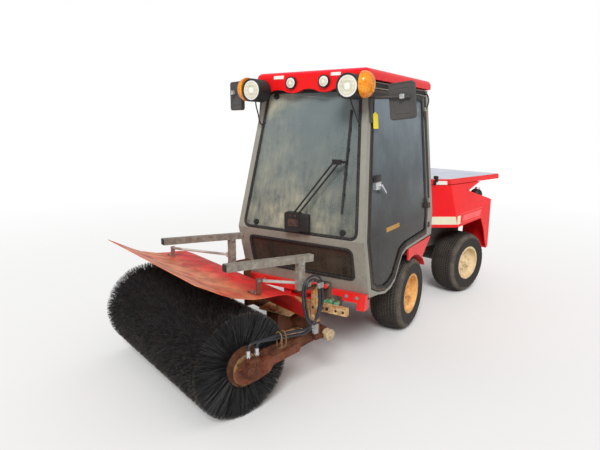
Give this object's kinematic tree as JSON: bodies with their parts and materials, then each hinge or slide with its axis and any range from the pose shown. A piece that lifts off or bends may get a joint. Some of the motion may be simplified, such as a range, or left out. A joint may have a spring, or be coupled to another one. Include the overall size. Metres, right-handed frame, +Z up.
{
  "type": "compact road sweeper",
  "caption": "Compact articulated road sweeper: glazed cab on the front unit, engine unit behind, and a wide front roller broom with a hood.",
  "frame": {"origin": "on the ground, under the middle of the whole machine's box", "axes": "+X to the machine's left, +Y to its rear, +Z up"},
  "size_m": [1.9906, 3.8948, 1.975],
  "materials": {
    "red_paint": "gloss",
    "grey_paint": "satin",
    "dark_steel": "satin",
    "rusty_steel": "matte",
    "zinc_steel": "satin",
    "cream_paint": "satin",
    "tyre_rubber": "matte",
    "glass_clear": "gloss",
    "glass_dark": "gloss",
    "lamp_glass": "gloss",
    "amber": "gloss",
    "black_plastic": "matte",
    "bristle": "matte",
    "hose_rubber": "matte",
    "seat_vinyl": "satin",
    "cast_block": "matte"
  },
  "bodies": {
    "front_unit": {"front_chassis": "red_paint", "front_axle": "dark_steel", "pivot_pin": "zinc_steel", "cab_frame": "grey_paint", "cab_floor": "dark_steel", "roof": "red_paint", "windshield": "glass_clear", "lower_window": "glass_dark", "rear_window": "glass_clear", "headlamps": "black_plastic", "lamp_lenses": "lamp_glass", "indicators": "amber", "mirror_left": "black_plastic", "mirror_right": "black_plastic", "wiper": "black_plastic", "front_fenders": "red_paint", "console": "black_plastic", "seat_base": "dark_steel", "seat_cushion": "seat_vinyl", "seat_back": "seat_vinyl"},
    "steering_wheel": {"steering_wheel": "black_plastic"},
    "door_left": {"door_frame_left": "dark_steel", "door_glass_left": "glass_clear", "door_handle_left": "zinc_steel"},
    "door_right": {"door_frame_right": "dark_steel", "door_glass_right": "glass_clear", "door_handle_right": "zinc_steel"},
    "wheel_front_left": {"tyre_front_left": "tyre_rubber", "rim_front_left": "cream_paint"},
    "wheel_front_right": {"tyre_front_right": "tyre_rubber", "rim_front_right": "cream_paint"},
    "rear_unit": {"rear_chassis": "dark_steel", "rear_axle": "dark_steel", "engine_block": "cast_block", "rear_tank": "dark_steel", "rear_body": "red_paint", "rear_lamps": "amber", "filler_cap": "black_plastic", "tow_hitch": "dark_steel"},
    "wheel_rear_left": {"tyre_rear_left": "tyre_rubber", "rim_rear_left": "cream_paint"},
    "wheel_rear_right": {"tyre_rear_right": "tyre_rubber", "rim_rear_right": "cream_paint"},
    "rear_lid": {"rear_lid": "red_paint"},
    "steer_barrel": {"steer_barrel": "dark_steel"},
    "steer_rod": {"steer_rod": "zinc_steel"},
    "lift_barrel": {"lift_barrel": "dark_steel"},
    "lift_rod": {"lift_rod": "zinc_steel"},
    "lift_arms": {"lift_arms": "red_paint", "swivel_carrier": "rusty_steel"},
    "broom": {"broom_frame": "rusty_steel", "broom_hood": "red_paint", "hood_rods": "zinc_steel", "gantry_bars": "zinc_steel", "broom_motor": "dark_steel", "bristle_guard": "rusty_steel", "broom_hoses": "hose_rubber"},
    "brush": {"brush_core": "dark_steel", "brush_bristles": "bristle"}
  },
  "joints": [
    {"name": "articulation", "type": "hinge", "parent": "front_unit", "child": "rear_unit", "pos_m": [0.20714, 0.80548, 0.404], "axis": [0, 0, 1], "range_deg": [-20, 55]},
    {"name": "steering_wheel_turn", "type": "hinge", "parent": "front_unit", "child": "steering_wheel", "pos_m": [0.20714, -0.50452, 0.985], "axis": [0, 0.5, 0.866], "continuous": true},
    {"name": "door_left_hinge", "type": "hinge", "parent": "front_unit", "child": "door_left", "pos_m": [0.72114, 0.33748, 0.905], "axis": [-0.097, 0, 0.9953], "range_deg": [0, 80]},
    {"name": "door_right_hinge", "type": "hinge", "parent": "front_unit", "child": "door_right", "pos_m": [-0.30686, 0.33748, 0.905], "axis": [-0.097, 0, -0.9953], "range_deg": [0, 80]},
    {"name": "wheel_front_left_spin", "type": "hinge", "parent": "front_unit", "child": "wheel_front_left", "pos_m": [0.57614, 0.05548, 0.297], "axis": [1, 0, 0], "continuous": true},
    {"name": "wheel_front_right_spin", "type": "hinge", "parent": "front_unit", "child": "wheel_front_right", "pos_m": [-0.16186, 0.05548, 0.297], "axis": [1, 0, 0], "continuous": true},
    {"name": "wheel_rear_left_spin", "type": "hinge", "parent": "rear_unit", "child": "wheel_rear_left", "pos_m": [0.73748, 1.26386, 0.297], "axis": [0.9542, -0.299, 0], "continuous": true},
    {"name": "wheel_rear_right_spin", "type": "hinge", "parent": "rear_unit", "child": "wheel_rear_right", "pos_m": [0.03326, 1.48455, 0.297], "axis": [0.9542, -0.299, 0], "continuous": true},
    {"name": "rear_lid_hinge", "type": "hinge", "parent": "rear_unit", "child": "rear_lid", "pos_m": [0.21851, 0.84174, 1.096], "axis": [0.9542, -0.299, 0], "range_deg": [0, 55]},
    {"name": "broom_lift", "type": "hinge", "parent": "front_unit", "child": "lift_arms", "pos_m": [0.20714, -0.64452, 0.424], "axis": [-1, 0, 0], "range_deg": [0, 8]},
    {"name": "steer_barrel_turn", "type": "hinge", "parent": "front_unit", "child": "steer_barrel", "pos_m": [0.39214, 0.48048, 0.5], "axis": [0, 0, 1], "range_deg": [-10, 25]},
    {"name": "steer_rod_slide", "type": "slide", "parent": "steer_barrel", "child": "steer_rod", "axis": [0.0586, 0.9983, 0], "range_m": [-0.075, 0.18]},
    {"name": "lift_barrel_turn", "type": "hinge", "parent": "front_unit", "child": "lift_barrel", "pos_m": [0.20714, -0.24452, 0.3], "axis": [-1, 0, 0], "range_deg": [-1, 5]},
    {"name": "lift_rod_slide", "type": "slide", "parent": "lift_barrel", "child": "lift_rod", "axis": [0, -0.9986, 0.0535], "range_m": [-0.002, 0.03]},
    {"name": "broom_swivel", "type": "hinge", "parent": "lift_arms", "child": "broom", "pos_m": [0.20714, -1.09452, 0.365], "axis": [0, 0, 1], "range_deg": [-1, 37]},
    {"name": "brush_spin", "type": "hinge", "parent": "broom", "child": "brush", "pos_m": [-0.27653, -1.45048, 0.31], "axis": [0.9511, -0.309, 0], "continuous": true}
  ],
  "couplings": [
    {"joint": "steer_barrel_turn", "follows": "articulation", "ratio": 0.35},
    {"joint": "steer_rod_slide", "follows": "articulation", "m_per_rad": 0.17},
    {"joint": "lift_barrel_turn", "follows": "broom_lift", "ratio": 0.28122},
    {"joint": "lift_rod_slide", "follows": "broom_lift", "m_per_rad": 0.09448}
  ]
}
